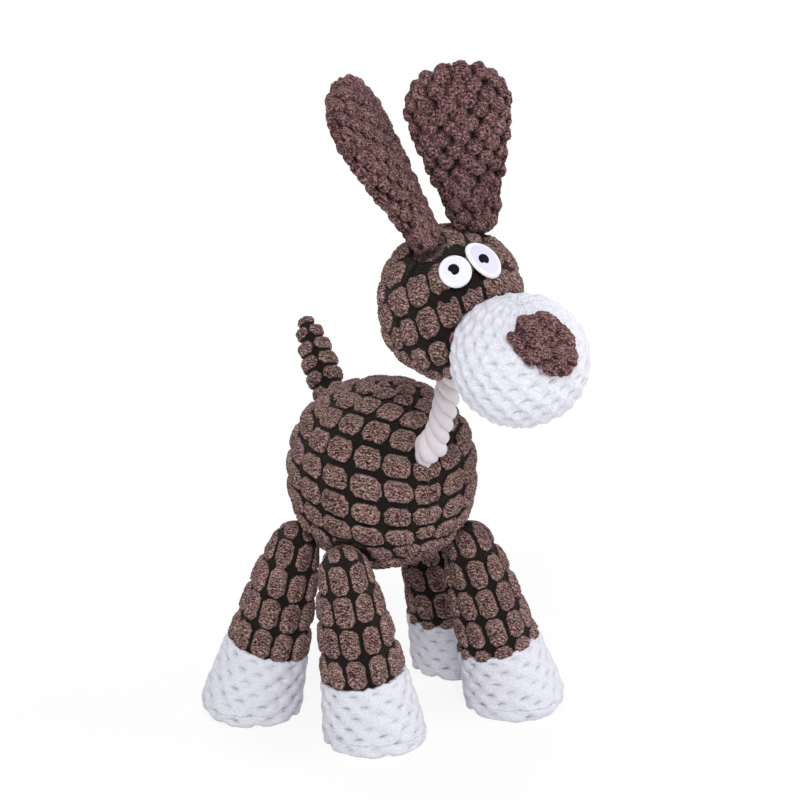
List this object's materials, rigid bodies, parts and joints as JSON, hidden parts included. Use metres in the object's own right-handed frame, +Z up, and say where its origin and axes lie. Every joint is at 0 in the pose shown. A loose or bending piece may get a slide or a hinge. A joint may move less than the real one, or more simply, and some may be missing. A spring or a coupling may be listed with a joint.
{
  "type": "squeaky dog toy",
  "caption": "Plush standing donkey dog toy with stuffed torso, legs, tail and head, padded ears, a twisted cotton rope neck and a squeaker sealed inside its torso.",
  "frame": {"origin": "on the floor under the middle of the whole toy's box", "axes": "+Z up, +X the toy's own left side, -Y the way it faces"},
  "size_m": [0.1714, 0.2194, 0.3387],
  "materials": {
    "brown_plush": "brown tufted plush",
    "dark_plush": "dark brown nubby plush",
    "white_plush": "white bubble plush",
    "filling": "loose fibre filling",
    "cotton_rope": "twisted white cotton",
    "white_thread": "satin embroidery",
    "black_thread": "satin embroidery",
    "crinkle_film": "thin crinkled film",
    "bulb_plastic": "soft blown plastic",
    "reed_plastic": "moulded plastic"
  },
  "bodies": {
    "torso": {"torso_cover_left": "brown_plush", "torso_cover_right": "brown_plush", "torso_fill": "filling", "squeaker_bulb": "bulb_plastic"},
    "reed": {"squeaker_reed": "reed_plastic"},
    "tail": {"tail_cover_left": "brown_plush", "tail_cover_right": "brown_plush", "tail_fill": "filling"},
    "leg_front_right": {"leg_sleeve_front_right": "brown_plush", "foot_cover_front_right": "white_plush", "foot_sole_front_right": "white_plush", "leg_fill_front_right": "filling"},
    "leg_front_left": {"leg_sleeve_front_left": "brown_plush", "foot_cover_front_left": "white_plush", "foot_sole_front_left": "white_plush", "leg_fill_front_left": "filling"},
    "leg_rear_right": {"leg_sleeve_rear_right": "brown_plush", "foot_cover_rear_right": "white_plush", "foot_sole_rear_right": "white_plush", "leg_fill_rear_right": "filling"},
    "leg_rear_left": {"leg_sleeve_rear_left": "brown_plush", "foot_cover_rear_left": "white_plush", "foot_sole_rear_left": "white_plush", "leg_fill_rear_left": "filling"},
    "neck": {"neck_rope": "cotton_rope"},
    "head": {"head_cover_front": "brown_plush", "head_cover_back": "brown_plush", "muzzle_cover": "white_plush", "head_fill": "filling", "nose_patch": "dark_plush", "eye_white_right": "white_thread", "eye_white_left": "white_thread", "eye_pupil_right": "black_thread", "eye_pupil_left": "black_thread"},
    "ear_right": {"ear_face_right": "dark_plush", "ear_back_right": "dark_plush", "ear_film_right": "crinkle_film"},
    "ear_left": {"ear_face_left": "dark_plush", "ear_back_left": "dark_plush", "ear_film_left": "crinkle_film"}
  },
  "joints": [
    {"name": "hip_front_right", "type": "hinge", "parent": "torso", "child": "leg_front_right", "pos_m": [-0.04051, 0.01406, 0.08839], "axis": [1, 0, 0], "range_deg": [-35, 4], "stiffness_Nm_per_rad": 0.2},
    {"name": "hip_front_left", "type": "hinge", "parent": "torso", "child": "leg_front_left", "pos_m": [0.0331, 0.01406, 0.08839], "axis": [1, 0, 0], "range_deg": [-35, 4], "stiffness_Nm_per_rad": 0.2},
    {"name": "hip_rear_right", "type": "hinge", "parent": "torso", "child": "leg_rear_right", "pos_m": [-0.04285, 0.0597, 0.08844], "axis": [1, 0, 0], "range_deg": [-4, 35], "stiffness_Nm_per_rad": 0.2},
    {"name": "hip_rear_left", "type": "hinge", "parent": "torso", "child": "leg_rear_left", "pos_m": [0.03545, 0.0597, 0.08844], "axis": [1, 0, 0], "range_deg": [-4, 35], "stiffness_Nm_per_rad": 0.2},
    {"name": "tail_wag", "type": "hinge", "parent": "torso", "child": "tail", "pos_m": [-0.00884, 0.08068, 0.15758], "axis": [0, 1, 0], "range_deg": [-28, 28], "stiffness_Nm_per_rad": 0.02},
    {"name": "neck_nod", "type": "hinge", "parent": "torso", "child": "neck", "pos_m": [-0.0037, -0.00299, 0.1474], "axis": [1, 0, 0], "range_deg": [-5, 18], "stiffness_Nm_per_rad": 0.6},
    {"name": "head_turn", "type": "hinge", "parent": "neck", "child": "head", "pos_m": [-0.0021, -0.01979, 0.1908], "axis": [-0.1178, -0.2508, 0.9608], "range_deg": [-35, 35], "stiffness_Nm_per_rad": 0.2},
    {"name": "ear_flop_right", "type": "hinge", "parent": "head", "child": "ear_right", "pos_m": [-0.02558, -0.03437, 0.2605], "axis": [0.6443, 0.6747, 0.36], "range_deg": [-35, 4], "stiffness_Nm_per_rad": 0.05},
    {"name": "ear_flop_left", "type": "hinge", "parent": "head", "child": "ear_left", "pos_m": [0.00307, -0.03236, 0.26454], "axis": [0.8402, -0.5168, 0.1645], "range_deg": [-45, 4], "stiffness_Nm_per_rad": 0.05},
    {"name": "squeak_press", "type": "slide", "parent": "torso", "child": "reed", "axis": [0, 0, -1], "range_m": [0, 0.006], "stiffness_N_per_m": 300, "deforming": ["squeaker_bulb"]}
  ]
}
